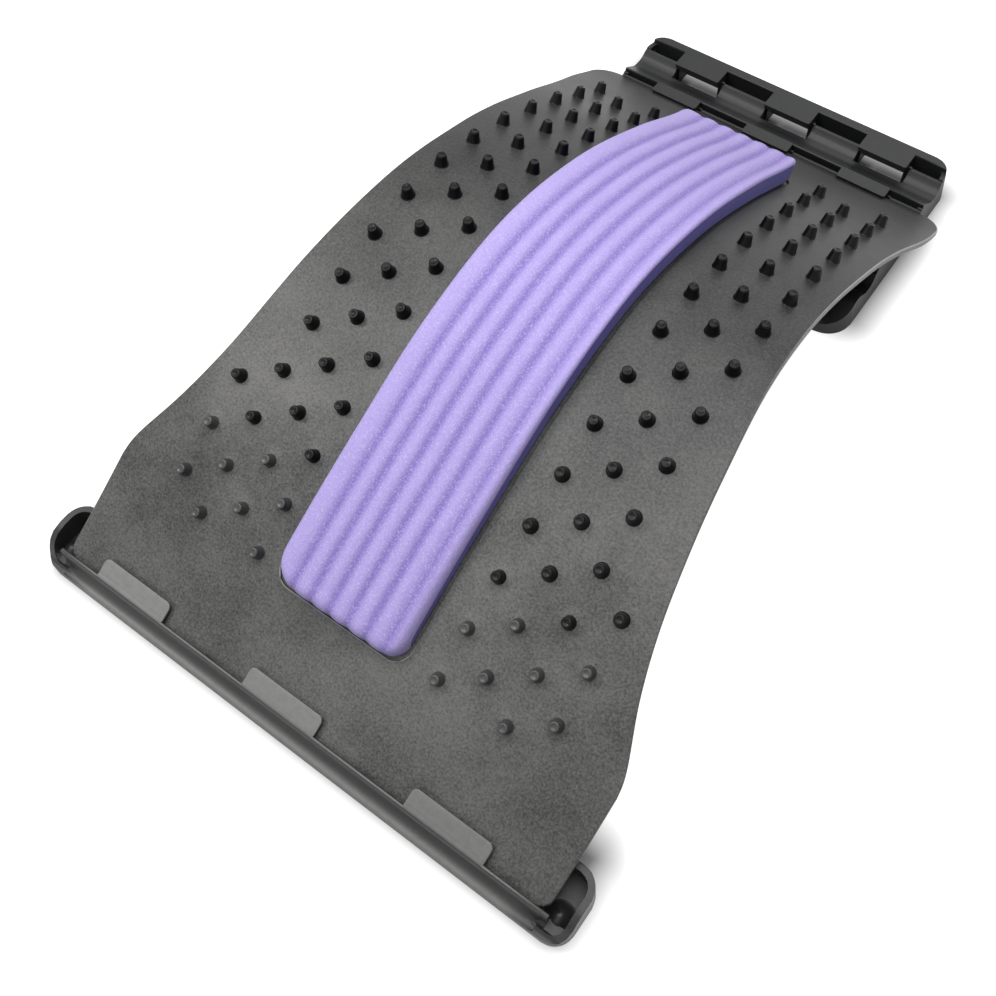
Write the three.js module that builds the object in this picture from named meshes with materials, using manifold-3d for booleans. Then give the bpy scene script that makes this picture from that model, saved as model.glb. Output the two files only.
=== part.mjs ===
import * as THREE from 'three';
import { mergeVertices } from 'three/addons/utils/BufferGeometryUtils.js';
import Module from 'manifold-3d';

// Arched back stretcher: a springy nubbed plate bowed between a wide near bar
// and the slot rows of a narrow far tray, with a ribbed foam pad down its middle.
// Lengths are millimetres. X runs across, Z up, and Y from the near edge of the
// base to its far edge; the last lines move the middle of the base to Y zero.

const wasm = await Module();
wasm.setup();

// The whole object
const baseLength = 386;
const nearWidth = 255;
const farWidth = 164;
const crestHeight = 82.6; // top of the bowed plate
const mouldedWall = 2.5; // walls and ribs of the base
const clearance = 0.3; // gap between pieces that seat on each other
const cutOverrun = 3; // cuts pass the faces they open by this much
const weldDistance = 0.001;
const quarterSteps = 4; // facets in a quarter turn
const leastSteps = 2; // facets in the smallest corner
const cornerShare = 0.48; // of its shorter side that a rounded corner may take

// The bowed plate
const plateThickness = 3;
const plateSideGap = 11; // from the plate's near corners to the ends of the bar
const plateWaistWidth = 169.2;
const plateFarWidth = 184;
const nearCorner = 5;
const nearShoulder = 41; // from the near edge to where the sides turn in
const farCorner = 11;
const farShoulder = 16.5; // from the far edge to the widest place of the far end
const profileSpans = 52;

// The recess and the foam pad stuck in it
const padWidth = 59;
const padShift = -1.7; // the pad sits a little off the middle
const padThickness = 8.6;
const padStart = 41; // along the plate, from its near edge
const padEnd = 35.25; // from the pad's far end to the plate's far edge
const padLeftCorner = 12;
const padRightCorner = 9;
const padSpans = 27;
const firstRib = 10.8; // the outer ribs are cut off unevenly from the sheet
const lastRib = 5.7;
const ribCount = 7;
const grooveDepth = 1.5;
const padEdgeRound = 1.6;
const padLift = 1.6; // the far end curls clear of the plate
const padLiftLength = 26;
const recessDepth = 1;
const recessMargin = 1.8;
const recessCorner = 7;
const tapeThickness = 0.4;
const tapeMargin = 2;

// The nubs
const nubHeight = 4.8;
const nubBase = 5.4;
const nubTip = 3.9;
const nubDish = 0.5;
const nubSides = 8;
const nubRoot = 1.2; // how far a nub is rooted in the plate
const nubSkirt = 10; // the low mound at the foot of the nubs near the edge
const nubSkirtHeight = 0.8;
const nubSkirtRows = 5;
const nubRowPitch = 10.5;
const nubFirstRow = 44.4; // along the plate, from its near edge
const nubLastRow = 33; // least distance of a row from the far edge
const nubPadGap = 13.2; // from the pad's side to the inner column
const nubWaistGap = 12.3; // from the waist's side to the outer column there
const nubSideGap = 11; // least distance of a nub from the plate's side
const nubColumns = 4;
const waistColumn = 2; // the outer column at the waist, counted from zero

// The near bar of the base
const barDepth = 28;
const barFrontCorner = 8;
const barBackCorner = 9;
const bandHeight = 4.6; // the light band along the foot of the bar
const bandWidth = 2.3;
const troughHeight = 4.1;
const ridgeFront = 5.9;
const ridgeWall = 1.6;
const ridgeTop = 14;
const ridgeLip = 0.6; // the ridge stands this much over the roots of its tabs
const ridgeEndGap = 9.6; // the ridge stops short of the end walls
const rimTop = 14.8;
const rimWall = 2.6;
const rimReach = 14; // the end walls turn in along the back this far
const rimRise = 10; // the end walls climb to the rim over this length
const barFloor = 3;
const seatInset = 5; // the seat ends this far inside the edge of the plate
const seatSpans = 6;
const bossWidth = 5.4; // a low boss in each end of the bar
const bossRise = 1.7;
const bossInset = 7.2; // from the end of the bar
const bossAt = 10.2; // from the near edge
const bossTopShare = 0.5; // of its width
const nearTabWidth = 35;
const nearTabInset = 50.7; // from the end of the bar to the middle of a tab
const nearTabShift = -3.9;
const nearTabSpans = 4;
const nearTabReach = 7.4; // how far the tabs reach over the plate
const nearTabThickness = 1.9;
const tabCorner = 2;
const barDraft = 2 * Math.PI / 180; // the outer walls lean in with height

// The far tray of the base
const trayNearCorner = 12;
const trayFarCorner = 10;
const trayDraft = 8 * Math.PI / 180;
const noseHeight = 5;
const noseRun = 16.5;
const crestRowHeight = 13;
const crestRun = 7.7; // from the top of the nose to the first valley
const rowCount = 4;
const usedRow = 1; // counted from the rear, starting at zero
const rowPitch = 21.1;
const rearRim = 6.5;
const rearRimRound = 1.6;
const farTabWidth = 24.2;
const farTabInset = 32; // from the side of the tray to the middle of its outer tabs
const farTabShift = 1;
const farTabDepth = 9.5; // in the rear row, from the rim
const innerTabDepth = 5.8; // in the other rows, from the deck behind them
const farTabThickness = 2.3;
const farTabTop = 15;
const farSeatDrop = 0.8; // from the underside of the tabs to the plate's edge
const slotDepth = 3.5; // how far the plate goes in under the tabs
const stopWall = 1.1;
const stopDrop = 1; // from the underside of the tabs to the lip of the stop
const stopRun = 2.6; // the deck rises to the lip over this length
const valleyGap = 0.7; // below the underside of the seated edge
const valleyRun = 9; // from the foot of the slope to the stop
const valleyRound = 6;
const edgeRound = 0.5;
const wellFloor = 3;
const wellWall = 2.1;
const windowReach = 2.3; // the windows reach out from under the tabs
const windowRight = 1.3; // and past their right ends
const wellEndWall = 1.1; // between a window and the wells beside it
const nibWidth = 1.8; // the lip stands up at the right end of each window
const hollowSpans = 5;

// The waist that joins bar and tray
const waistWidth = 100;
const waistNearWidth = 196;
const waistFarWidth = 132;
const waistTop = 9;
const waistNearRun = 44; // length of the near flare
const waistFarRun = 34;
const waistFillet = 26;
const waistLap = 6; // how far the waist runs into the bar and the tray
const holeWidth = 54;
const holeLength = 78;
const holeGap = 22;
const holeRound = 24;
const crossRibPitch = 40;

const plasticColour = 0x4b4e50;
const plasticRoughness = 0.5;
const padColour = 0xa893de;
const padRoughness = 0.85;
const tapeColour = 0xd9d9d2;
const tapeRoughness = 0.7;

// Where the plate seats
const rearRow = baseLength - rearRim - farTabDepth;
const rowFront = (row) => rearRow - row * rowPitch;
const rowStop = (row) => rowFront(row) + slotDepth;
const rowBack = (row) => rowFront(row) + (row === 0 ? farTabDepth : innerTabDepth);
const trayNear = rowStop(rowCount - 1) - valleyRun - crestRun - noseRun;
const ridgeBack = ridgeFront + ridgeWall;
const plateNear = ridgeBack + clearance;
const plateFar = rowStop(usedRow) - clearance;
const plateSpan = plateFar - plateNear;
const plateNearWidth = nearWidth - 2 * plateSideGap;
const farTabUnder = farTabTop - farTabThickness;
const nearEdgeTop = ridgeTop - ridgeLip - nearTabThickness - clearance; // plate top at its near edge
const farEdgeTop = farTabUnder - farSeatDrop; // and at its far edge
const stopTop = farTabUnder - stopDrop;
const valleyHeight = farEdgeTop - plateThickness - valleyGap;

// The pattern of the nubs and of the pad's ribs
const nubInner = padWidth / 2 + nubPadGap;
const nubColumnPitch = (plateWaistWidth / 2 - nubWaistGap - nubInner) / waistColumn;
const ribPitch = (padWidth - firstRib - lastRib) / (ribCount - 2);
const padFoot = clearance + tapeThickness + clearance - recessDepth; // over the plate's top

// Where the height of a line is read about a place: shares of a reach.
const reachShares = [-1, -0.5, 0, 0.5, 1];
// How the plate rises between its edges: shares of its span, and of the rise of
// its crest over the line between the edges.
const profileShares = [
  [0, 0], [0.05, 0.123], [0.152, 0.393], [0.268, 0.657], [0.398, 0.905], [0.529, 1],
  [0.66, 0.873], [0.79, 0.588], [0.906, 0.254], [0.964, 0.089], [1, 0],
];
// How its sides draw in from each shoulder to the waist: shares of the run, and
// of the difference in half width.
const waistShare = 0.607; // of the plate's span
const nearSideShares = [
  [0, 1], [0.05, 0.94], [0.17, 0.67], [0.3, 0.46], [0.45, 0.3], [0.6, 0.18], [0.8, 0.05], [1, 0],
];
const farSideShares = [[0.2, 0.04], [0.36, 0.14], [0.53, 0.25], [0.72, 0.5], [0.9, 0.92], [1, 1]];
// The round top of a rib: shares of its width, and of the groove's depth below its crest.
const ribShares = [[0.22, 0.25], [0.5, 0], [0.78, 0.25]];

// Helpers

// A solid from a closed three.js geometry.
function solidOf(geometry) {
  const bare = new THREE.BufferGeometry();
  bare.setAttribute('position', geometry.getAttribute('position'));
  bare.setIndex(geometry.getIndex());
  const merged = mergeVertices(bare, weldDistance);
  const vertProperties = merged.getAttribute('position').array;
  const triVerts = new Uint32Array(merged.getIndex().array);
  return new wasm.Manifold(new wasm.Mesh({ numProp: 3, vertProperties, triVerts }));
}

function geometryOf(solid) {
  const mesh = solid.getMesh();
  const geometry = new THREE.BufferGeometry();
  geometry.setAttribute('position', new THREE.Float32BufferAttribute(mesh.vertProperties, 3));
  geometry.setIndex(new THREE.Uint32BufferAttribute(mesh.triVerts, 1));
  geometry.computeVertexNormals();
  return geometry;
}

const joined = (solids) => solids.reduce((all, next) => all.add(next));

// The points of a closed outline from corners given as [first, second, radius].
function rounded(corners) {
  const points = [];
  corners.forEach(([first, second, radius = 0], index) => {
    const corner = new THREE.Vector2(first, second);
    if (radius === 0) {
      points.push(corner);
      return;
    }
    const previous = corners[(index + corners.length - 1) % corners.length];
    const following = corners[(index + 1) % corners.length];
    const back = new THREE.Vector2(previous[0], previous[1]).sub(corner);
    const ahead = new THREE.Vector2(following[0], following[1]).sub(corner);
    const shorter = Math.min(back.length(), ahead.length());
    back.normalize();
    ahead.normalize();
    const half = Math.acos(back.dot(ahead)) / 2;
    const reach = Math.min(radius / Math.tan(half), shorter * cornerShare);
    const fitted = reach * Math.tan(half);
    const centre = back.clone().add(ahead).normalize();
    centre.multiplyScalar(fitted / Math.sin(half)).add(corner);
    const start = back.multiplyScalar(reach).add(corner).sub(centre).angle();
    let turn = ahead.multiplyScalar(reach).add(corner).sub(centre).angle() - start;
    if (turn > Math.PI) turn -= 2 * Math.PI;
    if (turn < -Math.PI) turn += 2 * Math.PI;
    const steps = Math.max(leastSteps, Math.round(quarterSteps * Math.abs(turn) / (Math.PI / 2)));
    for (let step = 0; step <= steps; step += 1) {
      const angle = start + turn * step / steps;
      points.push(new THREE.Vector2(Math.cos(angle), Math.sin(angle)).multiplyScalar(fitted).add(centre));
    }
  });
  return points;
}

const alongX = new THREE.Vector3(1, 0, 0);
const alongY = new THREE.Vector3(0, 1, 0);
const alongZ = new THREE.Vector3(0, 0, 1);

function extruded(outline, depth) {
  return new THREE.ExtrudeGeometry(new THREE.Shape(outline), { depth, bevelEnabled: false });
}

// A prism along X from an outline in Y and Z.
function across(outline, from, to) {
  const geometry = extruded(outline, to - from);
  geometry.applyMatrix4(new THREE.Matrix4().makeBasis(alongY, alongZ, alongX).setPosition(from, 0, 0));
  return solidOf(geometry);
}

// A prism upwards from an outline in X and Y.
function upward(outline, from, to) {
  const geometry = extruded(outline, to - from);
  geometry.translate(0, 0, from);
  return solidOf(geometry);
}

// A block with its corners rounded in plan.
function block(x0, x1, y0, y1, z0, z1, radius = 0) {
  return upward(rounded([[x0, y0, radius], [x1, y0, radius], [x1, y1, radius], [x0, y1, radius]]), z0, z1);
}

// A prism from the floor up whose outline leans in with height. The corners come
// from a function of the inset, so both rings have the same points.
function drafted(cornersAt, height, draft) {
  const bottom = rounded(cornersAt(0));
  const top = rounded(cornersAt(height * Math.tan(draft)));
  const count = bottom.length;
  const position = [];
  bottom.forEach((point) => position.push(point.x, point.y, 0));
  top.forEach((point) => position.push(point.x, point.y, height));
  const index = [];
  for (let here = 0; here < count; here += 1) {
    const next = (here + 1) % count;
    index.push(here, next, count + next, here, count + next, count + here);
  }
  THREE.ShapeUtils.triangulateShape(bottom, []).forEach(([a, b, c]) => {
    index.push(a, c, b, count + a, count + b, count + c);
  });
  const geometry = new THREE.BufferGeometry();
  geometry.setAttribute('position', new THREE.Float32BufferAttribute(position, 3));
  geometry.setIndex(index);
  return solidOf(geometry);
}

// Corners of a rectangle centred on X, drawn in by an inset.
function plan(width, near, far, nearRadius, farRadius) {
  return (inset) => {
    const half = width / 2 - inset;
    const nearRound = Math.max(nearRadius - inset, 0);
    const farRound = Math.max(farRadius - inset, 0);
    return [
      [-half, near + inset, nearRound], [half, near + inset, nearRound],
      [half, far - inset, farRound], [-half, far - inset, farRound],
    ];
  };
}

// The curve of the plate's top.
function plateCurve() {
  const rise = crestHeight - (nearEdgeTop + farEdgeTop) / 2;
  const points = profileShares.map(([alongShare, riseShare]) => {
    const line = nearEdgeTop + (farEdgeTop - nearEdgeTop) * alongShare;
    return new THREE.Vector3(0, plateNear + plateSpan * alongShare, line + rise * riseShare);
  });
  return new THREE.CatmullRomCurve3(points, false, 'centripetal');
}

const curve = plateCurve();
const curveLength = curve.getLength();
const padLength = curveLength - padStart - padEnd;
const nubRows = Math.floor((curveLength - nubFirstRow - nubLastRow) / nubRowPitch) + 1;

// A place on the plate: how far along its curve, and how far off its top.
function onPlate(distance, offset) {
  const share = distance / curveLength;
  const inside = Math.min(Math.max(share, 0), 1);
  const tangent = curve.getTangentAt(inside);
  const point = curve.getPointAt(inside).addScaledVector(tangent, distance - inside * curveLength);
  return new THREE.Vector2(point.y - tangent.z * offset, point.z + tangent.y * offset);
}

// The section between two offsets of the plate's top, over a stretch of its length.
function plateBand(from, to, lower, upper, spans) {
  const under = [];
  const over = [];
  for (let span = 0; span <= spans; span += 1) {
    const distance = from + (to - from) * span / spans;
    under.push(onPlate(distance, lower));
    over.push(onPlate(distance, upper));
  }
  return under.concat(over.reverse());
}

// The bowed plate

// The right side between the shoulders, as seen from above.
function plateSide() {
  const waistHalf = plateWaistWidth / 2;
  const nearExtra = plateNearWidth / 2 - waistHalf;
  const farExtra = plateFarWidth / 2 - waistHalf;
  const waistAt = plateNear + plateSpan * waistShare;
  const nearRun = waistAt - plateNear - nearShoulder;
  const farRun = plateFar - farShoulder - waistAt;
  const near = nearSideShares.map(([run, share]) => new THREE.Vector2(
    waistHalf + nearExtra * share, waistAt - nearRun * (1 - run)));
  const far = farSideShares.map(([run, share]) => new THREE.Vector2(
    waistHalf + farExtra * share, waistAt + farRun * run));
  return new THREE.SplineCurve(near.concat(far)).getSpacedPoints(profileSpans / 2);
}

const side = plateSide();

// Half the plate's width at a place along the base.
function halfWidthAt(y) {
  const after = side.findIndex((point) => point.y > y);
  if (after < 0) return side[side.length - 1].x;
  if (after === 0) return side[0].x;
  const share = (y - side[after - 1].y) / (side[after].y - side[after - 1].y);
  return side[after - 1].x + (side[after].x - side[after - 1].x) * share;
}

// A quarter circle of the plate's outline about a middle, from a starting angle.
function quarter(x, y, radius, start) {
  const points = [];
  for (let step = 0; step <= quarterSteps; step += 1) {
    const angle = start + Math.PI / 2 * step / quarterSteps;
    points.push(new THREE.Vector2(x + radius * Math.cos(angle), y + radius * Math.sin(angle)));
  }
  return points;
}

function plateOutline() {
  const nearX = plateNearWidth / 2 - nearCorner;
  const farX = plateFarWidth / 2 - farCorner;
  const right = [
    ...quarter(nearX, plateNear + nearCorner, nearCorner, -Math.PI / 2),
    ...side,
    ...quarter(farX, plateFar - farCorner, farCorner, 0),
  ];
  const left = right.map((point) => new THREE.Vector2(-point.x, point.y)).reverse();
  return right.concat(left);
}

// One nub: a blunt cone with a dished tip, revolved about the plate's normal.
function nubAt(x, distance, skirted) {
  const profile = [
    new THREE.Vector2(0, -nubRoot),
    new THREE.Vector2(skirted ? nubSkirt / 2 : nubBase / 2, -nubRoot),
  ];
  if (skirted) {
    profile.push(new THREE.Vector2(nubSkirt / 2, 0), new THREE.Vector2(nubBase / 2, nubSkirtHeight));
  } else {
    profile.push(new THREE.Vector2(nubBase / 2, 0));
  }
  profile.push(new THREE.Vector2(nubTip / 2, nubHeight), new THREE.Vector2(0, nubHeight - nubDish));
  const geometry = new THREE.LatheGeometry(profile, nubSides);
  const foot = onPlate(distance, 0);
  const tip = onPlate(distance, nubHeight);
  const normal = new THREE.Vector3(0, tip.x - foot.x, tip.y - foot.y).normalize();
  const turn = new THREE.Quaternion().setFromUnitVectors(alongY, normal);
  geometry.applyQuaternion(turn);
  geometry.translate(x, foot.x, foot.y);
  return solidOf(geometry);
}

// Every second column in a row, and the others in the next, as far out as the
// plate's side leaves room.
function nubs() {
  const solids = [];
  for (let row = 0; row < nubRows; row += 1) {
    const distance = nubFirstRow + row * nubRowPitch;
    const room = halfWidthAt(onPlate(distance, 0).x) - nubSideGap;
    for (let column = row % 2; column < nubColumns; column += 2) {
      const x = nubInner + column * nubColumnPitch;
      if (x > room) continue;
      const skirted = row < nubSkirtRows;
      solids.push(nubAt(x, distance, skirted), nubAt(-x, distance, skirted));
    }
  }
  return solids;
}

function recessCut() {
  const from = padStart - recessMargin;
  const to = padStart + padLength + recessMargin;
  const near = onPlate(from, 0).x;
  const far = onPlate(to, 0).x;
  const left = padShift - padWidth / 2 - recessMargin;
  const right = padShift + padWidth / 2 + recessMargin;
  const strip = across(plateBand(from, to, -recessDepth, cutOverrun, padSpans), left, right);
  return strip.intersect(block(left, right, near, far, 0, crestHeight + cutOverrun, recessCorner));
}

function archPlate() {
  const half = plateNearWidth / 2 + cutOverrun;
  const band = plateBand(-cutOverrun, curveLength + cutOverrun, -plateThickness, 0, profileSpans);
  const sheet = across(band, -half, half).intersect(upward(plateOutline(), 0, crestHeight + cutOverrun));
  return joined([sheet.subtract(recessCut()), ...nubs()]);
}

// The foam pad and its tape

// Height of the pad's top across its width, as points from left to right.
function ribbedTop() {
  const grooves = [0];
  for (let rib = 0; rib < ribCount - 1; rib += 1) grooves.push(firstRib + rib * ribPitch);
  grooves.push(padWidth);
  const points = [];
  for (let rib = 0; rib < ribCount; rib += 1) {
    const left = grooves[rib];
    const right = grooves[rib + 1];
    const fallLeft = rib === 0 ? padEdgeRound : grooveDepth;
    points.push([left, padThickness - fallLeft]);
    ribShares.forEach(([along, fall]) => {
      points.push([left + (right - left) * along, padThickness - grooveDepth * fall]);
    });
  }
  points.push([padWidth, padThickness - padEdgeRound / 2]);
  return points;
}

function padLiftAt(distance) {
  const past = Math.max(distance - (padLength - padLiftLength), 0) / padLiftLength;
  return padLift * past * past;
}

function foamPad() {
  const left = padShift - padWidth / 2;
  const ring = [[0, 0], ...ribbedTop(), [padWidth, 0]];
  const count = ring.length;
  const position = [];
  for (let span = 0; span <= padSpans; span += 1) {
    const distance = padLength * span / padSpans;
    ring.forEach(([x, height]) => {
      const place = onPlate(padStart + distance, padFoot + height + padLiftAt(distance));
      position.push(left + x, place.x, place.y);
    });
  }
  const index = [];
  for (let span = 0; span < padSpans; span += 1) {
    for (let here = 0; here < count; here += 1) {
      const a = span * count + here;
      const b = span * count + (here + 1) % count;
      index.push(a, b, b + count, a, b + count, a + count);
    }
  }
  const flat = ring.map(([x, height]) => new THREE.Vector2(x, height));
  const last = padSpans * count;
  THREE.ShapeUtils.triangulateShape(flat, []).forEach(([a, b, c]) => {
    index.push(a, b, c, last + a, last + c, last + b);
  });
  const geometry = new THREE.BufferGeometry();
  geometry.setAttribute('position', new THREE.Float32BufferAttribute(position, 3));
  geometry.setIndex(index);
  const near = onPlate(padStart, padThickness).x;
  const far = onPlate(padStart + padLength, padThickness).x + padThickness;
  const footprint = rounded([
    [left, near, padLeftCorner], [left + padWidth, near, padRightCorner],
    [left + padWidth, far], [left, far],
  ]);
  return solidOf(geometry).intersect(upward(footprint, 0, crestHeight + padThickness + padLift));
}

function padTape() {
  const half = padWidth / 2 - tapeMargin;
  const lower = clearance - recessDepth;
  const from = padStart + tapeMargin;
  const to = padStart + padLength - padLiftLength;
  const band = plateBand(from, to, lower, lower + tapeThickness, padSpans);
  return across(band, padShift - half, padShift + half);
}

// The base

const nearTabs = [-1, 0, 1].map((place) => nearTabShift + place * (nearWidth / 2 - nearTabInset));
const farTabs = [-1, 0, 1].map((place) => farTabShift + place * (farWidth / 2 - farTabInset));

const barPlan = plan(nearWidth, 0, barDepth, barFrontCorner, barBackCorner);
const trayPlan = plan(farWidth, trayNear, baseLength, trayNearCorner, trayFarCorner);

// Nose, ridge and floor of the near bar.
function barSection() {
  return rounded([
    [0, 0], [0, bandHeight, bandWidth / 2], [bandWidth, bandHeight, bandWidth / 2],
    [bandWidth + edgeRound, troughHeight, edgeRound],
    [ridgeFront - edgeRound, troughHeight + bandWidth, bandWidth],
    [ridgeFront, ridgeTop, edgeRound], [ridgeBack, ridgeTop, edgeRound],
    [ridgeBack, barFloor], [barDepth, barFloor], [barDepth, 0],
  ].reverse());
}

// End walls that climb from the band to the rim.
function barRim() {
  const room = drafted((inset) => barPlan(inset + rimWall), rimTop, barDraft);
  const ring = drafted(barPlan, rimTop, barDraft).subtract(room);
  const climb = rounded([
    [0, 0], [barDepth, 0], [barDepth, rimTop, bandWidth / 2], [rimRise, rimTop, rimRise],
    [bandWidth, bandHeight, bandWidth], [0, bandHeight],
  ]);
  const half = nearWidth / 2;
  const walls = [-half, half - rimReach].map((from) => across(climb, from, from + rimReach));
  return ring.intersect(joined(walls));
}

// A low boss on the floor in one end of the bar.
function barBoss(x) {
  const radius = bossWidth / 2;
  const profile = [[0, 0], [radius, 0], [radius, barFloor], [radius * bossTopShare, barFloor + bossRise],
    [0, barFloor + bossRise]].map(([out, height]) => new THREE.Vector2(out, height));
  const geometry = new THREE.LatheGeometry(profile, quarterSteps * quarterSteps);
  geometry.rotateX(Math.PI / 2);
  geometry.translate(x, bossAt, 0);
  return solidOf(geometry);
}

// The seat follows the underside of the plate.
function barSeat() {
  const half = plateNearWidth / 2 - seatInset;
  const under = -plateThickness - clearance;
  const to = barDepth - plateNear + cutOverrun;
  const wide = half + cutOverrun;
  const seat = block(-half, half, ridgeFront, barDepth - edgeRound, 0, rimTop);
  return seat.subtract(across(plateBand(-cutOverrun, to, under, under + barDepth, seatSpans), -wide, wide));
}

// A tab lies over the plate, rooted in the ridge.
function nearTab(x) {
  const top = clearance + nearTabThickness;
  const band = plateBand(-cutOverrun, nearTabReach, clearance, top, nearTabSpans);
  const front = onPlate(nearTabReach, clearance).x;
  const half = nearTabWidth / 2;
  const footprint = rounded([
    [x - half, ridgeFront], [x + half, ridgeFront],
    [x + half, front, tabCorner], [x - half, front, tabCorner],
  ]);
  return across(band, x - half, x + half).intersect(upward(footprint, 0, crestHeight));
}

function nearBar() {
  const half = nearWidth / 2;
  const body = across(barSection(), -half, half).intersect(drafted(barPlan, ridgeTop + cutOverrun, barDraft));
  const ends = [-half, half - ridgeEndGap].map((from) => block(
    from, from + ridgeEndGap, ridgeFront - bandWidth, barDepth, bandHeight, rimTop));
  const bosses = [-1, 1].map((place) => barBoss(place * (half - bossInset)));
  return joined([body.subtract(joined(ends)), barRim(), barSeat(), ...bosses, ...nearTabs.map(nearTab)]);
}

// The wavy top of the tray, from its nose to the rear rim.
function trayTop() {
  const line = [[trayNear, noseHeight, noseHeight], [trayNear + noseRun, crestRowHeight, noseRun / 2]];
  for (let row = rowCount - 1; row >= 0; row -= 1) {
    const stop = rowStop(row);
    line.push([stop - valleyRun, valleyHeight, valleyRound], [stop - stopRun, valleyHeight, valleyRound]);
    line.push([stop, stopTop, edgeRound], [stop + stopWall, stopTop, edgeRound]);
    line.push([stop + stopWall, farTabUnder], [rowBack(row), farTabUnder]);
    line.push([rowBack(row), farTabTop, edgeRound]);
  }
  line.push([baseLength, farTabTop, rearRimRound]);
  return line;
}

function farTab(x, row) {
  const half = farTabWidth / 2;
  const corners = [
    [x - half, rowFront(row), tabCorner / 2], [x + half, rowFront(row), tabCorner / 2],
    [x + half, rowBack(row) + edgeRound], [x - half, rowBack(row) + edgeRound],
  ];
  return upward(rounded(corners), farTabUnder, farTabTop);
}

// The lip of a stop stands up to the tab at the right end of each window.
function nib(x, row) {
  const right = x + farTabWidth / 2;
  const near = rowStop(row);
  return block(right - nibWidth, right + nibWidth, near, near + stopWall, wellFloor, farTabUnder);
}

// Deep wells behind the stops, between the tabs and out to the side walls.
function wellCuts(row) {
  const half = farTabWidth / 2;
  const ends = [-farWidth / 2, ...farTabs.flatMap((x) => [x - half, x + half]), farWidth / 2];
  const from = rowStop(row) + stopWall;
  const top = farTabTop + cutOverrun;
  const cuts = [];
  for (let gap = 0; gap < ends.length; gap += 2) {
    cuts.push(block(ends[gap], ends[gap + 1], from, rowBack(row), wellFloor, top));
  }
  return joined(cuts).intersect(drafted((inset) => trayPlan(inset + wellWall), top, trayDraft));
}

// Openings right through the tray that let the mould shape the tabs: wide in
// front of the wells, and narrower between them, under the tab.
function windowCuts(row) {
  const half = farTabWidth / 2;
  const from = rowFront(row) - windowReach;
  const stop = rowStop(row);
  const back = rowBack(row) + mouldedWall;
  return farTabs.flatMap((x) => [
    block(x - half, x + half + windowRight, from, stop, -cutOverrun, farTabUnder),
    block(x - half + wellEndWall, x + half - wellEndWall, from, back, -cutOverrun, farTabUnder),
  ]);
}

function farTray() {
  const half = farWidth / 2;
  const section = rounded([[trayNear, 0], ...trayTop(), [baseLength, 0]].reverse());
  const body = across(section, -half, half).intersect(drafted(trayPlan, farTabTop + cutOverrun, trayDraft));
  const solids = [body];
  for (let row = 0; row < rowCount; row += 1) {
    farTabs.forEach((x) => solids.push(farTab(x, row), nib(x, row)));
  }
  return joined(solids);
}

const waistNear = barDepth - waistLap;
const waistFar = trayNear + noseRun;

function waistCorners(inset) {
  const nearHalf = waistNearWidth / 2 - inset;
  const half = waistWidth / 2 - inset;
  const farHalf = waistFarWidth / 2 - inset;
  return [
    [-nearHalf, waistNear], [nearHalf, waistNear],
    [half, waistNear + waistNearRun, waistFillet], [half, waistFar - waistFarRun, waistFillet],
    [farHalf, waistFar], [-farHalf, waistFar],
    [-half, waistFar - waistFarRun, waistFillet], [-half, waistNear + waistNearRun, waistFillet],
  ];
}

const holeMiddles = [-1, 1].map((side) => (waistNear + waistFar) / 2 + side * (holeLength + holeGap) / 2);

function hole(middle, grow, from, to) {
  const half = holeWidth / 2 + grow;
  const reach = holeLength / 2 + grow;
  return block(-half, half, middle - reach, middle + reach, from, to, holeRound + grow);
}

// Height of a line of [along, height] corners at a place, the lower where it steps.
function heightAt(line, place) {
  let height = Infinity;
  for (let part = 0; part < line.length - 1; part += 1) {
    const [fromAlong, fromHeight] = line[part];
    const [toAlong, toHeight] = line[part + 1];
    if (place < fromAlong || place > toAlong || toAlong === fromAlong) continue;
    const share = (place - fromAlong) / (toAlong - fromAlong);
    height = Math.min(height, fromHeight + (toHeight - fromHeight) * share);
  }
  return height;
}

// The lowest point of such a line within reach of a place.
function lowestNear(line, along, reach) {
  return Math.min(...reachShares.map((share) => heightAt(line, along + share * reach)));
}

// The hollow under the tray, between the solid strips that hold the wells.
function trayHollow() {
  const top = trayTop();
  const half = farWidth / 2;
  const inner = drafted((inset) => trayPlan(inset + mouldedWall), farTabTop, trayDraft);
  const bays = [];
  for (let row = rowCount; row >= 0; row -= 1) {
    const from = (row === rowCount ? trayNear : rowBack(row)) + mouldedWall;
    const to = (row === 0 ? baseLength : rowStop(row - 1)) - mouldedWall;
    if (to - from < mouldedWall) continue;
    const section = [new THREE.Vector2(from, -cutOverrun), new THREE.Vector2(to, -cutOverrun)];
    for (let step = hollowSpans; step >= 0; step -= 1) {
      const along = from + (to - from) * step / hollowSpans;
      section.push(new THREE.Vector2(along, lowestNear(top, along, mouldedWall) - mouldedWall));
    }
    bays.push(across(section, -half, half));
  }
  return joined(bays).intersect(inner.add(block(-half, half, trayNear, baseLength, -cutOverrun, 0)));
}

function underHollows() {
  const waistRoom = drafted((inset) => waistCorners(inset + mouldedWall), waistTop - mouldedWall, barDraft)
    .intersect(block(-nearWidth, nearWidth, barDepth, trayNear, -cutOverrun, waistTop));
  const rings = joined(holeMiddles.map((middle) => hole(middle, mouldedWall, -cutOverrun, waistTop)));
  const barHalf = plateNearWidth / 2 - seatInset - mouldedWall;
  const barNear = ridgeBack + mouldedWall;
  const barRoom = block(-barHalf, barHalf, barNear, barDepth - mouldedWall, -cutOverrun, troughHeight);
  return joined([waistRoom.subtract(rings), barRoom, trayHollow()]).subtract(crossRibs());
}

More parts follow.
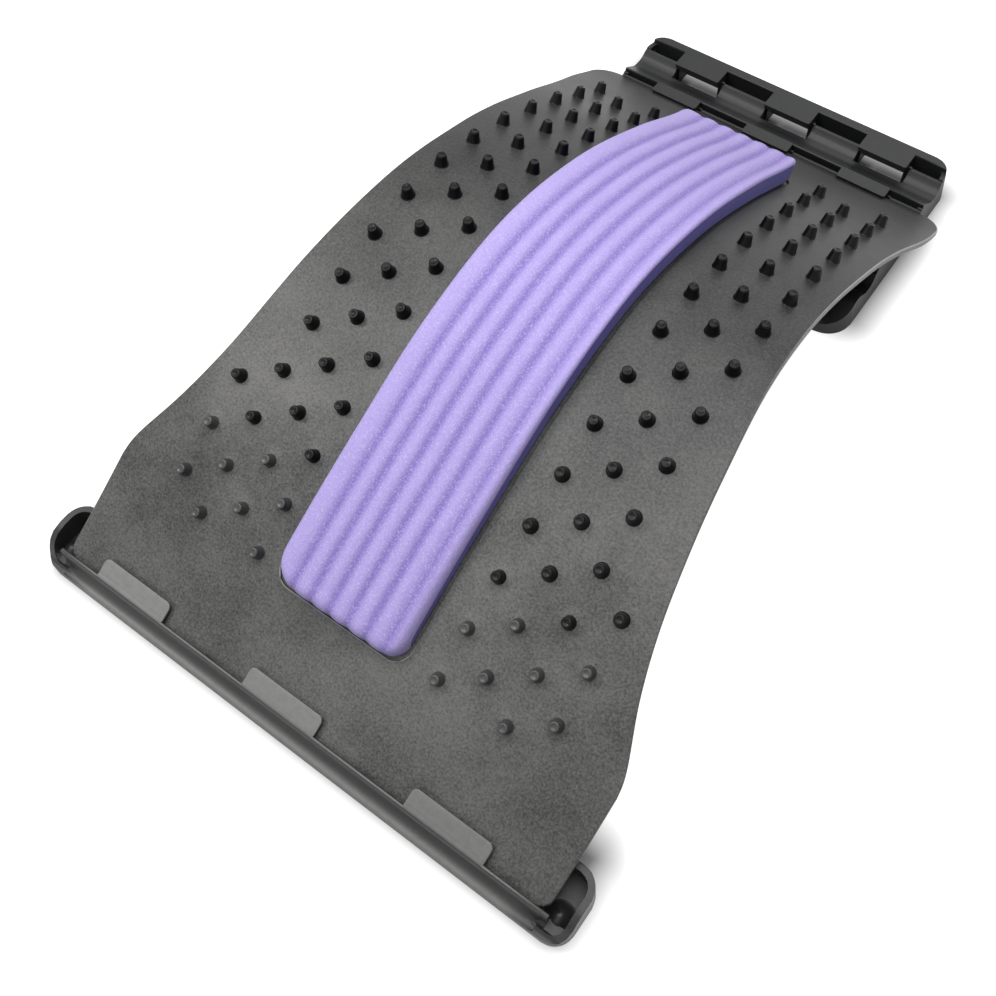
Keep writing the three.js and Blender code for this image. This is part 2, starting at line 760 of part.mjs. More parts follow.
// Ribs under the base, along it and across it.
function crossRibs() {
  const rib = mouldedWall / 2;
  const along = [-1, 0, 1].map((place) => {
    const x = place * (waistWidth / 2 - crossRibPitch / 2);
    return block(x - rib, x + rib, 0, baseLength, 0, crestHeight);
  });
  const cross = [];
  for (let y = barDepth + crossRibPitch; y < trayNear - rib; y += crossRibPitch) {
    cross.push(block(-nearWidth, nearWidth, y - rib, y + rib, 0, crestHeight));
  }
  return joined([...along, ...cross]);
}

// The room that the seated plate takes in the tray.
function slotRoom() {
  const half = plateFarWidth / 2 + cutOverrun;
  const lower = -plateThickness - clearance;
  const band = plateBand(-cutOverrun, curveLength + cutOverrun, lower, clearance, profileSpans);
  return across(band, -half, half).intersect(
    block(-half, half, trayNear, plateFar + clearance, 0, crestHeight));
}

function basePlate() {
  const waist = drafted(waistCorners, waistTop, barDraft);
  const holes = holeMiddles.map((middle) => hole(middle, 0, -cutOverrun, waistTop + cutOverrun));
  const cuts = [underHollows(), slotRoom(), ...holes];
  for (let row = 0; row < rowCount; row += 1) cuts.push(wellCuts(row), ...windowCuts(row));
  return joined([nearBar(), waist, farTray()]).subtract(joined(cuts));
}

// The assembly

function finish(name, color, roughness) {
  return new THREE.MeshStandardMaterial({ name, color, roughness, metalness: 0 });
}

function piece(name, solid, material) {
  const mesh = new THREE.Mesh(geometryOf(solid), material);
  mesh.name = name;
  return mesh;
}

const group = new THREE.Group();
group.add(piece('base_plate', basePlate(), finish('base plastic', plasticColour, plasticRoughness)));
group.add(piece('arch_plate', archPlate(), finish('arch plastic', plasticColour, plasticRoughness)));
group.add(piece('foam_pad', foamPad(), finish('foam', padColour, padRoughness)));
group.add(piece('pad_tape', padTape(), finish('tape', tapeColour, tapeRoughness)));
group.position.y = -baseLength / 2;

export default group;
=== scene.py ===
import math

import bmesh
import bpy
from mathutils import Matrix, Vector


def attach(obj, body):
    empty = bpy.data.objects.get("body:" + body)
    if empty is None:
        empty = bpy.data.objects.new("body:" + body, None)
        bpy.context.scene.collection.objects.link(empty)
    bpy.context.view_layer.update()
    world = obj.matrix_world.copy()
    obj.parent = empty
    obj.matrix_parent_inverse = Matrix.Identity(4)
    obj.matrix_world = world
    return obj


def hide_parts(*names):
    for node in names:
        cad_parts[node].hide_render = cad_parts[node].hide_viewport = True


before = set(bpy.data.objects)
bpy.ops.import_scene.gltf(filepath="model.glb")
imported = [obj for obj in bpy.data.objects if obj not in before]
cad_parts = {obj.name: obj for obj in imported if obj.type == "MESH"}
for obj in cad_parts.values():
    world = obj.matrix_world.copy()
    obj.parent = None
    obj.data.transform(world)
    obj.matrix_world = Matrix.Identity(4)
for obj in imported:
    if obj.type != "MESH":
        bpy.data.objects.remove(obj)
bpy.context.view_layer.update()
mm = 0.001


# small helpers

def newObject(name, mesh):
    made = bpy.data.objects.new(name, mesh)
    bpy.context.scene.collection.objects.link(made)
    return made


def meshFrom(name, points, faces):
    mesh = bpy.data.meshes.new(name)
    mesh.from_pydata([tuple(p) for p in points], [], faces)
    mesh.validate()
    mesh.update()
    return mesh


def settle(made):
    # the modifiers' result becomes the plain mesh, and the modifiers go
    dg = bpy.context.evaluated_depsgraph_get()
    plain = bpy.data.meshes.new_from_object(made.evaluated_get(dg), depsgraph=dg)
    plain.name = made.name
    made.modifiers.clear()
    made.data = plain


def recalculate(mesh):
    work = bmesh.new()
    work.from_mesh(mesh)
    bmesh.ops.recalc_face_normals(work, faces=work.faces)
    work.to_mesh(mesh)
    work.free()
    mesh.update()


def smooth(mesh, sharpAngle):
    mesh.shade_smooth()
    mesh.set_sharp_from_angle(angle=math.radians(sharpAngle))


# the bow of the plate, in millimetres from the near edge of the base

bow = {
    "baseLength": 386,
    "start": 7.8, "end": 352.1,
    "startTop": 11.2, "endTop": 11.9, "crest": 82.6,
    "shares": [(0, 0), (0.05, 0.123), (0.152, 0.393), (0.268, 0.657), (0.398, 0.905), (0.529, 1),
               (0.66, 0.873), (0.79, 0.588), (0.906, 0.254), (0.964, 0.089), (1, 0)],
    "samples": 60,  # points on each stretch of the spline
}
baseHalf = bow["baseLength"] / 2


def spline(points, samples, power, mirroredEnds):
    # Catmull-Rom through the points: power 0.25 follows the chord, 0 is even
    made = []
    last = len(points) - 1
    for i in range(last):
        b, c = points[i], points[i + 1]
        a = points[i - 1] if i else (2 * b - c if mirroredEnds else b)
        d = points[i + 2] if i + 2 <= last else (2 * c - b if mirroredEnds else c)
        ab = (b - a).length_squared ** power
        bc = (c - b).length_squared ** power
        cd = (d - c).length_squared ** power
        leave = ((b - a) / ab - (c - a) / (ab + bc) + (c - b) / bc) * bc
        arrive = ((c - b) / bc - (d - b) / (bc + cd) + (d - c) / cd) * bc
        for step in range(samples):
            t = step / samples
            made.append(b + leave * t + (3 * (c - b) - 2 * leave - arrive) * t ** 2
                        + (2 * (b - c) + leave + arrive) * t ** 3)
    made.append(points[-1])
    return made


def bowLine():
    rise = bow["crest"] - (bow["startTop"] + bow["endTop"]) / 2
    run = bow["end"] - bow["start"]
    points = [Vector((bow["start"] + run * along,
                      bow["startTop"] + (bow["endTop"] - bow["startTop"]) * along + rise * up))
              for along, up in bow["shares"]]
    return spline(points, bow["samples"], 0.25, True)


line = bowLine()
lengths = [0.0]
for i in range(1, len(line)):
    lengths.append(lengths[-1] + (line[i] - line[i - 1]).length)
bowLength = lengths[-1]


def onBow(distance, lift=0.0, x=0.0):
    # a place on the plate: how far along it, how far off its top, and across it
    inside = min(max(distance, 0.0), bowLength)
    low, high = 0, len(lengths) - 1
    while high - low > 1:
        mid = (low + high) // 2
        if lengths[mid] <= inside:
            low = mid
        else:
            high = mid
    share = (inside - lengths[low]) / (lengths[high] - lengths[low])
    spot = line[low].lerp(line[high], share)
    before = line[low] - line[max(low - 1, 0)] if low else line[1] - line[0]
    here = line[high] - line[low]
    after = line[min(high + 1, len(line) - 1)] - line[high] if high + 1 < len(line) else here
    tangent = before.normalized() * (1 - share) + here.normalized() + after.normalized() * share
    tangent = tangent.normalized()
    spot = spot + tangent * (distance - inside)
    return Vector((x, spot.x - tangent.y * lift - baseHalf, spot.y + tangent.x * lift)) * mm


# finishes

def newMaterial(name):
    material = bpy.data.materials.new(name)
    material.use_nodes = True
    tree = material.node_tree
    tree.nodes.clear()
    out = tree.nodes.new("ShaderNodeOutputMaterial")
    shader = tree.nodes.new("ShaderNodeBsdfPrincipled")
    tree.links.new(shader.outputs[0], out.inputs["Surface"])
    return material, tree, shader


def add(tree, kind, settings=None, inputs=None):
    made = tree.nodes.new(kind)
    for key, value in (settings or {}).items():
        setattr(made, key, value)
    for key, value in (inputs or {}).items():
        socket = made.inputs[key]
        if isinstance(value, bpy.types.NodeSocket):
            tree.links.new(value, socket)
        else:
            socket.default_value = value
    return made


def sums(tree, operation, first, second=None):
    inputs = {0: first}
    if second is not None:
        inputs[1] = second
    return add(tree, "ShaderNodeMath", {"operation": operation}, inputs).outputs[0]


def noise(tree, place, scale, detail, roughness=0.5):
    return add(tree, "ShaderNodeTexNoise", None, {
        "Vector": place, "Scale": scale, "Detail": detail, "Roughness": roughness}).outputs["Fac"]


def dots(tree, place, scale):
    return add(tree, "ShaderNodeTexVoronoi", None, {"Vector": place, "Scale": scale}).outputs["Distance"]


def ramp(tree, value, low, high, atLow, atHigh):
    return add(tree, "ShaderNodeMapRange", None, {
        0: value, 1: low, 2: high, 3: atLow, 4: atHigh}).outputs[0]


def blend(tree, share, first, second):
    return add(tree, "ShaderNodeMix", {"data_type": "RGBA"}, {0: share, 6: first, 7: second}).outputs[2]


def ownShare(tree, name):
    # the piece's own attribute, made with its mesh
    return add(tree, "ShaderNodeAttribute", {"attribute_name": name}).outputs["Fac"]


def finishShader(tree, shader, colour, height, look):
    tree.links.new(colour, shader.inputs["Base Color"])
    bump = add(tree, "ShaderNodeBump", None, {
        "Strength": look["bumpStrength"], "Distance": look["bumpDepth"] * mm, "Height": height})
    tree.links.new(bump.outputs[0], shader.inputs["Normal"])
    shader.inputs["Specular IOR Level"].default_value = look["specular"]


plasticLook = {
    "colour": (0.0145, 0.0152, 0.016, 1), "paleColour": (0.142, 0.141, 0.135, 1),
    "cloudScale": 18, "cloudShare": 1.7, "fineScale": 1100, "fineShare": 1.5,
    # the paler grey is partly the plastic's own blotches and partly painted sheen
    "paleRange": (1.16, 2.05),  # the sum of both noises where the paler grey starts and is full
    # painted sheen towards the near end, and painted shade beyond the crest
    "sheenTo": -0.09, "shadeFrom": 0.072, "shadeShare": 0.12,  # metres from the middle of the base
    "wearAndHighlightColour": (0.37, 0.375, 0.355, 1),
    "mottleScale": 420, "mottleRange": (0.3, 0.6), "mottleLeast": 0.86,
    "dustColour": (0.2, 0.2, 0.195, 1), "dustShare": 0.16, "dustScale": 900, "dustRange": (0.1, 0.24),
    "dustyScale": 130, "dustyRange": (0.42, 0.6),  # the places where the dust lies
    "roughness": 0.42, "roughSpread": 0.05, "roughRange": (0.3, 0.7), "specular": 0.32,
    "grainSize": 0.6, "bumpDepth": 0.1,  # mm
    "bumpStrength": 0.7,
}


def plastic(name, look):
    material, tree, shader = newMaterial(name)
    place = add(tree, "ShaderNodeTexCoord").outputs["Object"]
    cloud = noise(tree, place, look["cloudScale"], 5, 0.6)
    fine = noise(tree, place, look["fineScale"], 2, 0.65)
    both = sums(tree, "ADD", sums(tree, "MULTIPLY", cloud, look["cloudShare"]),
                sums(tree, "MULTIPLY", fine, look["fineShare"]))
    blotchAndSheen = ramp(tree, both, *look["paleRange"], 0.0, 1.0)
    # painted sheen and painted shade: greyer towards the near end, and blacker beyond the crest, for the
    # light that falls there
    axes = add(tree, "ShaderNodeSeparateXYZ", None, {0: place}).outputs
    sheenNearShadeFar = ramp(tree, axes["Y"], look["sheenTo"], look["shadeFrom"], 1.0, look["shadeShare"])
    greyAndSheen = sums(tree, "MULTIPLY", blotchAndSheen, sheenNearShadeFar)
    tone = blend(tree, greyAndSheen, look["colour"], look["paleColour"])
    # what hands rub is paler, and mottled; the same share paints highlights where light catches the near bar
    # and the plate's edges
    mottle = noise(tree, place, look["mottleScale"], 3, 0.6)
    mottled = ramp(tree, mottle, *look["mottleRange"], look["mottleLeast"], 1.0)
    wearAndHighlightShare = sums(tree, "MULTIPLY", ownShare(tree, "rubbed"), mottled)
    wornAndHighlighted = blend(tree, wearAndHighlightShare, tone, look["wearAndHighlightColour"])
    # specks of dust, in some places only
    specks = ramp(tree, dots(tree, place, look["dustScale"]), *look["dustRange"], look["dustShare"], 0.0)
    dusty = ramp(tree, noise(tree, place, look["dustyScale"], 2), *look["dustyRange"], 0.0, 1.0)
    colour = blend(tree, sums(tree, "MULTIPLY", specks, dusty), wornAndHighlighted, look["dustColour"])
    least, most = look["roughness"] - look["roughSpread"], look["roughness"] + look["roughSpread"]
    rough = ramp(tree, cloud, *look["roughRange"], least, most)
    tree.links.new(rough, shader.inputs["Roughness"])
    grain = noise(tree, place, 1 / (look["grainSize"] * mm), 3, 0.7)
    finishShader(tree, shader, colour, grain, look)
    return material


foamLook = {
    "colour": (0.38, 0.31, 0.67, 1), "paleColour": (0.47, 0.39, 0.77, 1), "cloudScale": 70,
    # painted shade: darker in the grooves and on the cut sides
    "grooveShadeColour": (0.235, 0.18, 0.51, 1), "sideShadeColour": (0.12, 0.1, 0.46, 1),
    "fleckColour": (0.74, 0.67, 0.93, 1), "fleckScale": 1500, "fleckRange": (0.5, 0.68), "fleckShare": 0.42,
    "roughness": 0.85, "specular": 0.25, "sheen": 0.15, "sheenRoughness": 0.5,
    "poreSize": 0.6, "bumpDepth": 0.26,  # mm
    "poreShare": 0.5, "bumpStrength": 0.8,
}


def foam(name, look):
    material, tree, shader = newMaterial(name)
    place = add(tree, "ShaderNodeTexCoord").outputs["Object"]
    cloud = noise(tree, place, look["cloudScale"], 6, 0.75)
    top = blend(tree, cloud, look["colour"], look["paleColour"])
    # painted shade in the grooves
    low = blend(tree, ownShare(tree, "groove"), top, look["grooveShadeColour"])
    fine = noise(tree, place, look["fleckScale"], 3, 0.7)
    speck = ramp(tree, fine, *look["fleckRange"], 0.0, look["fleckShare"])
    flecked = blend(tree, speck, low, look["fleckColour"])
    # painted shade on the cut sides, which face away from the key light
    colour = blend(tree, ownShare(tree, "cutSide"), flecked, look["sideShadeColour"])
    pores = dots(tree, place, 1 / (look["poreSize"] * mm))
    height = sums(tree, "ADD", sums(tree, "MULTIPLY", pores, look["poreShare"]), fine)
    finishShader(tree, shader, colour, height, look)
    shader.inputs["Roughness"].default_value = look["roughness"]
    shader.inputs["Sheen Weight"].default_value = look["sheen"]
    shader.inputs["Sheen Roughness"].default_value = look["sheenRoughness"]
    return material


plasticBase = plastic("charcoal moulding, base", dict(
    plasticLook, colour=(0.011, 0.0115, 0.0125, 1), paleColour=(0.03, 0.0305, 0.031, 1), specular=0.36,
    bumpDepth=0.06))
plasticPlate = plastic("charcoal moulding, plate", plasticLook)
# the nubs are blacker than the plate: partly their own glossy black, and partly painted shade for their
# sides, which face the dark plate
plasticNub = plastic("charcoal moulding, nubs", dict(
    plasticLook, colour=(0.003, 0.003, 0.0035, 1), paleColour=(0.005, 0.005, 0.0058, 1), roughness=0.28,
    specular=0.16, bumpDepth=0.01, dustShare=0))
# painted light: the near nubs are a lighter copy of the nub finish, for the light that falls on their tips
plasticNearNubLit = plastic("charcoal moulding, near nubs", dict(
    plasticLook, colour=(0.026, 0.0265, 0.027, 1), paleColour=(0.05, 0.0505, 0.05, 1), roughness=0.36,
    specular=0.5, bumpDepth=0.02, dustShare=0))
foamLilac = foam("lilac foam", foamLook)
print("materials made")


# shapes that several pieces are made from

def lathe(name, profile, sides):
    # a profile of radius and height, from pole to pole, turned round Z
    points = [Vector((0, 0, profile[0][1])) * mm]
    faces = []
    for radius, height in profile[1:-1]:
        for side in range(sides):
            angle = 2 * math.pi * side / sides
            points.append(Vector((radius * math.cos(angle), radius * math.sin(angle), height)) * mm)
    points.append(Vector((0, 0, profile[-1][1])) * mm)
    rings = len(profile) - 2
    for side in range(sides):
        nextSide = (side + 1) % sides
        faces.append((0, 1 + nextSide, 1 + side))
        for ring in range(rings - 1):
            a, b = 1 + ring * sides, 1 + (ring + 1) * sides
            faces.append((a + side, a + nextSide, b + nextSide, b + side))
        top = 1 + (rings - 1) * sides
        faces.append((top + side, top + nextSide, len(points) - 1))
    return meshFrom(name, points, faces)


def prism(name, outline, low, high):
    # an outline in X and Y, pulled up between two heights
    count = len(outline)
    points = [Vector((p.x, p.y - baseHalf, z)) * mm for z in (low, high) for p in outline]
    faces = [tuple(reversed(range(count))), tuple(range(count, 2 * count))]
    faces += [(i, (i + 1) % count, (i + 1) % count + count, i + count) for i in range(count)]
    return meshFrom(name, points, faces)


def cutWith(made, tool, operation):
    step = made.modifiers.new("cut", "BOOLEAN")
    step.object = tool
    step.operation = operation
    step.solver = "EXACT"


def roundedRectangle(x0, x1, y0, y1, radius, steps=10):
    # steps is the number of facets in each corner
    points = []
    for cx, cy, start in (
            (x1 - radius, y0 + radius, -90), (x1 - radius, y1 - radius, 0),
            (x0 + radius, y1 - radius, 90), (x0 + radius, y0 + radius, 180)):
        for step in range(steps + 1):
            angle = math.radians(start + 90 * step / steps)
            points.append(Vector((cx + radius * math.cos(angle), cy + radius * math.sin(angle))))
    return points


def bmeshClean(mesh, gap=0.004):
    # what a cut leaves behind: points nearer than the gap, in millimetres, and faces of no area
    work = bmesh.new()
    work.from_mesh(mesh)
    bmesh.ops.remove_doubles(work, verts=work.verts, dist=gap * mm)
    bmesh.ops.dissolve_degenerate(work, edges=work.edges, dist=gap * mm)
    work.to_mesh(mesh)
    work.free()


# base: the CAD shape with its edges broken, and the trim of its near bar

baseLook = {
    "mergeGap": 0.002, "flatAngle": 0.6, "sharpAngle": 30,  # mm, and degrees
    "edgeRound": 0.4, "edgeRoom": 0.9, "edgeSteps": 2, "edgeAngle": 35, "edgePale": 0.2,
    # facets in the upright corners are rounded into each other
    "turnFrom": 12, "turnTo": 34, "turnUpright": 0.3, "turnLeast": 2,
    "turnRound": 0.7, "turnPercent": 42, "widestFacet": 9,
    # the near bar
    "barSharpAngle": 60,
    "frontEnd": 115.3, "endRun": 14, "endShape": [(0, 0), (0.15, 0.3), (0.35, 0.7), (0.6, 0.93), (1, 1)],
    # painted highlights: the bar's outer band and its ridge top are paler, where light catches them
    "bandPale": 0.46, "bandTo": 1.2, "troughFrom": 4.4,
    "ridgePale": 0.3, "ridgeFrom": 13.2, "ridgeTo": 14,
    "bossX": 120.3, "bossY": 10.2, "bossZ": 3, "bossWidth": 12, "bossRise": 4, "bossSink": 0.6,
    "bossSteps": 8, "bossSides": 28,
    # the near tabs
    "tabs": (-80.7, -3.9, 72.9), "tabWidth": 35.2, "tabEnd": 14.45, "tabCorner": 2.3,
    "tabRound": 0.5, "tabSteps": 3, "tabSharpAngle": 40,
    "tabPale": (0.57, 0.53, 0.45), "tabPaleFrom": 5.4, "tabPaleTo": 9.2,
}


def roundTurns(work):
    # the facets of upright round corners run into each other, so that their outline is round
    inner, outer = [], []
    for edge in work.edges:
        if len(edge.link_faces) != 2:
            continue
        first, second = edge.link_faces
        if max(abs(first.normal.z), abs(second.normal.z)) > baseLook["turnUpright"]:
            continue
        turned = math.degrees(first.normal.angle(second.normal))
        tall = edge.calc_length() > baseLook["turnLeast"] * mm
        if tall and baseLook["turnFrom"] < turned < baseLook["turnTo"]:
            widest = max(face.calc_area() for face in (first, second)) / edge.calc_length()
            (inner if widest < baseLook["widestFacet"] * mm else outer).append(edge)
    bmesh.ops.bevel(
        work, geom=inner, offset_type="PERCENT", offset=baseLook["turnPercent"], segments=3,
        profile=0.5, affect="EDGES", clamp_overlap=True)
    bmesh.ops.bevel(
        work, geom=[edge for edge in outer if edge.is_valid], offset=baseLook["turnRound"] * mm,
        segments=2, profile=0.5, affect="EDGES", clamp_overlap=True)
    print("corners rounded", len(inner), len(outer))


def weighEdges(work, room=0.0, clearOf=None):
    # only corners that stand out and have room are broken, and the inner ones stay crisp
    weight = work.edges.layers.float.new("bevel_weight_edge")
    least = math.radians(baseLook["edgeAngle"])
    standing = {edge for edge in work.edges
                if len(edge.link_faces) == 2 and edge.calc_face_angle_signed() > least}
    for edge in standing:
        beside = [other.calc_length() for vertex in edge.verts for other in vertex.link_edges
                  if other not in standing]
        if min(beside, default=room) >= room and not (clearOf and clearOf(edge)):
            edge[weight] = 1.0


def paleEdges(mesh, shareOf):
    # the broken edges carry the bevel's own slot, which becomes a share: wear on the base, and painted
    # highlight on the plate
    shares = [shareOf(face) for face in mesh.polygons]
    attribute = mesh.attributes.new("rubbed", "FLOAT", "FACE")
    attribute.data.foreach_set("value", shares)
    mesh.polygons.foreach_set("material_index", [0] * len(mesh.polygons))


def breakEdges(made, width, steps, finish, clamp=False):
    made.data.materials.append(finish)
    made.data.materials.append(finish)
    bevel = made.modifiers.new("edges", "BEVEL")
    bevel.limit_method = "WEIGHT"
    bevel.width = width * mm
    bevel.segments = steps
    bevel.material = 1
    bevel.use_clamp_overlap = clamp
    bevel.harden_normals = True
    even = made.modifiers.new("even shading", "WEIGHTED_NORMAL")
    even.keep_sharp = True
    settle(made)


def makeBase():
    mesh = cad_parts["base_plate"].data.copy()
    mesh.materials.clear()
    work = bmesh.new()
    work.from_mesh(mesh)
    bmesh.ops.remove_doubles(work, verts=work.verts, dist=baseLook["mergeGap"] * mm)
    bmesh.ops.dissolve_limit(
        work, angle_limit=math.radians(baseLook["flatAngle"]), verts=work.verts, edges=work.edges)
    roundTurns(work)
    weighEdges(work, baseLook["edgeRoom"] * mm)
    work.to_mesh(mesh)
    work.free()
    base = newObject("base", mesh)
    smooth(mesh, baseLook["sharpAngle"])
    breakEdges(base, baseLook["edgeRound"], baseLook["edgeSteps"], plasticBase, clamp=True)
    paleEdges(base.data, lambda face: baseLook["edgePale"] if face.material_index == 1 else 0.0)
    base.data.materials.pop(index=1)
    return base


def sweptSection(name, stations):
    # closed outlines in Y and Z, from the near edge, joined along X
    count = len(stations[0][1])
    points = [Vector((x, y - baseHalf, z)) * mm for x, section in stations for y, z in section]
    last = (len(stations) - 1) * count
    faces = [tuple(range(count)), tuple(reversed(range(last, last + count)))]
    for ring in range(0, last, count):
        for i in range(count):
            n = (i + 1) % count
            faces.append((ring + i, ring + i + count, ring + n + count, ring + n))
    mesh = meshFrom(name, points, faces)
    recalculate(mesh)
    return mesh


# the band, the trough and the rounded ridge of the near bar: y, z at the ends, z between them
frontSection = [
    (0.1, 3.4, 3.4), (0.22, 4.2, 4.2), (0.5, 4.75, 4.75), (1.0, 5.02, 5.02), (1.7, 5.08, 5.1),
    (2.4, 4.95, 5.22), (3.1, 4.78, 5.5), (3.8, 4.85, 6.1), (4.35, 5.25, 6.95), (4.8, 6.1, 7.9),
    (5.15, 7.4, 8.95), (5.42, 9.2, 10.2), (5.6, 11.2, 11.6), (5.72, 12.7, 12.7), (5.95, 13.55, 13.55),
    (6.35, 13.98, 13.98), (6.9, 14.06, 14.06), (7.3, 13.9, 13.9), (7.42, 13.5, 13.5), (7.3, 11.5, 11.5),
    (6.3, 10.5, 10.5), (6.1, 4.6, 4.6), (3.8, 3.5, 3.5), (0.5, 3.1, 3.1)]

# a tab and its root, which runs over the ridge without a step: y, z
tabSection = [
    (14.45, 17.2), (13.2, 16.68), (11.6, 15.84), (10.2, 15.1), (9.2, 14.58), (8.4, 14.24), (7.6, 14.1),
    (6.9, 14.1), (6.3, 14.0), (5.85, 13.6), (5.6, 12.8), (5.5, 11.4), (5.9, 11), (6.6, 13.2), (8.2, 13.5),
    (14.45, 16.75)]


def wearAndHighlightAlong(mesh, shareOf):
    # a share at each point, from where it lies, in millimetres, with Y from the near edge: wear on the tabs,
    # painted highlight on the bar
    attribute = mesh.attributes.new("rubbed", "FLOAT", "POINT")
    attribute.data.foreach_set("value", [
        shareOf(vertex.co.x / mm, vertex.co.y / mm + baseHalf, vertex.co.z / mm)
        for vertex in mesh.vertices])


def between(value, none, full):
    # 0 at none and 1 at full, and held there past them
    return min(max((value - none) / (full - none), 0.0), 1.0)


def makeFront():
    ends, run = baseLook["frontEnd"], baseLook["endRun"]
    stations = []
    for gap, share in baseLook["endShape"]:
        section = [(y, endZ + (middleZ - endZ) * share) for y, endZ, middleZ in frontSection]
        stations.append((ends - run * gap, section))
    stations = [(-x, section) for x, section in stations] + stations[::-1]
    front = newObject("base_front", sweptSection("base_front", stations))
    smooth(front.data, baseLook["barSharpAngle"])

    def highlightAt(x, y, z):
        # painted highlight on the outer band and the ridge top, fading out at the bar's ends
        outer = baseLook["bandPale"] * between(y, baseLook["troughFrom"], baseLook["bandTo"])
        ridge = baseLook["ridgePale"] * between(z, baseLook["ridgeFrom"], baseLook["ridgeTo"])
        return (outer + ridge) * between(abs(x), ends, ends - run)

    wearAndHighlightAlong(front.data, highlightAt)
    front.data.materials.append(plasticBase)
    return front


def makeTab(number, x):
    half = baseLook["tabWidth"] / 2
    block = sweptSection("tab", [(x - half, tabSection), (x + half, tabSection)])
    tab = newObject("base_tab_%d" % number, block)
    # the plan runs well past the tab to the near side, and above and below it
    plan = newObject("tab plan", prism("tab plan", roundedRectangle(
        x - half, x + half, -20, baseLook["tabEnd"], baseLook["tabCorner"]), 0, 30))
    cutWith(tab, plan, "INTERSECT")
    settle(tab)
    bpy.data.objects.remove(plan)
    bmeshClean(tab.data)
    work = bmesh.new()
    work.from_mesh(tab.data)
    weighEdges(work)
    work.to_mesh(tab.data)
    work.free()
    smooth(tab.data, baseLook["tabSharpAngle"])
    tab.data.materials.clear()
    breakEdges(tab, baseLook["tabRound"], baseLook["tabSteps"], plasticBase)
    tab.data.polygons.foreach_set("material_index", [0] * len(tab.data.polygons))
    tab.data.materials.pop(index=1)
    wearAndHighlightAlong(tab.data, lambda x, y, z: baseLook["tabPale"][number - 1] * between(
        y, baseLook["tabPaleFrom"], baseLook["tabPaleTo"]))
    return tab


def makeBosses():
    # a low dome in each end of the bar
    wide, rise, sink = baseLook["bossWidth"] / 2, baseLook["bossRise"], baseLook["bossSink"]
    steps = baseLook["bossSteps"]
    profile = [(0, -sink), (wide, -sink)]
    profile += [(wide * (1 - step / steps), rise * (0.5 - 0.5 * math.cos(math.pi * step / steps)))
                for step in range(steps)]
    profile.append((0, rise))
    points, faces = [], []
    for side in (-1, 1):
        dome = lathe("boss", profile, baseLook["bossSides"])
        start = len(points)
        spot = Vector((side * baseLook["bossX"], baseLook["bossY"] - baseHalf, baseLook["bossZ"])) * mm
        points += [vertex.co + spot for vertex in dome.vertices]
        faces += [tuple(start + index for index in face.vertices) for face in dome.polygons]
    mesh = meshFrom("base_bosses", points, faces)
    recalculate(mesh)
    smooth(mesh, baseLook["barSharpAngle"])
    mesh.materials.append(plasticBase)
    return newObject("base_bosses", mesh)


base = makeBase()
front = makeFront()
tabs = [makeTab(number, x) for number, x in enumerate(baseLook["tabs"], 1)]
bosses = makeBosses()
print("base made", len(base.data.polygons), len(front.data.polygons), len(tabs), len(bosses.data.polygons))


# arch plate: a sheet swept along the bow, cut to its outline and sunk for the pad

plateLook = {
    "thickness": 3, "nearWidth": 233, "waistWidth": 169.2, "farWidth": 184,
    "nearCorner": 5, "farCorner": 11, "nearSteps": 8, "farSteps": 10, "sideSteps": 9,
    "nearShoulder": 41, "farShoulder": 16.5, "waistShare": 0.607,
    "nearSides": [(0, 1), (0.05, 0.94), (0.17, 0.67), (0.3, 0.46), (0.45, 0.3), (0.6, 0.18), (0.8, 0.05),
                  (1, 0)],
    "farSides": [(0.2, 0.04), (0.36, 0.14), (0.53, 0.25), (0.72, 0.5), (0.9, 0.92), (1, 1)],
    "spans": 190, "over": 3, "sharpAngle": 35, "edgeRound": 0.55, "edgeSteps": 3, "crispTo": 1.5,
    "recessDepth": 1, "recessMargin": 1.2, "recessCorner": 7,
    "recessSpans": 110, "recessReach": 6, "recessHalf": 90,  # the block that is cut to the recess's plan
    # painted highlights on the plate's broken edges: the recess's near lip, and the right side
    "lipPale": 0.8, "lipNear": 4, "lipFar": 12, "lipBeside": 4,  # mm from the recess's near lip
    "sidePale": 0.9, "sideFrom": -0.04, "sideTo": 0.06,  # metres from the middle of the base
    "sideBeyond": 0.06, "sideUpward": 0.1,  # the right side: its X, and how far its faces look up
}

padLook = {
    "width": 59, "shift": -1.7, "thickness": 8.6, "start": 41, "length": 300,
    "firstRib": 10.8, "ribPitch": 8.5, "ribs": 7, "grooveDepth": 1.25,
    "lift": 1.6, "liftLength": 26,
}


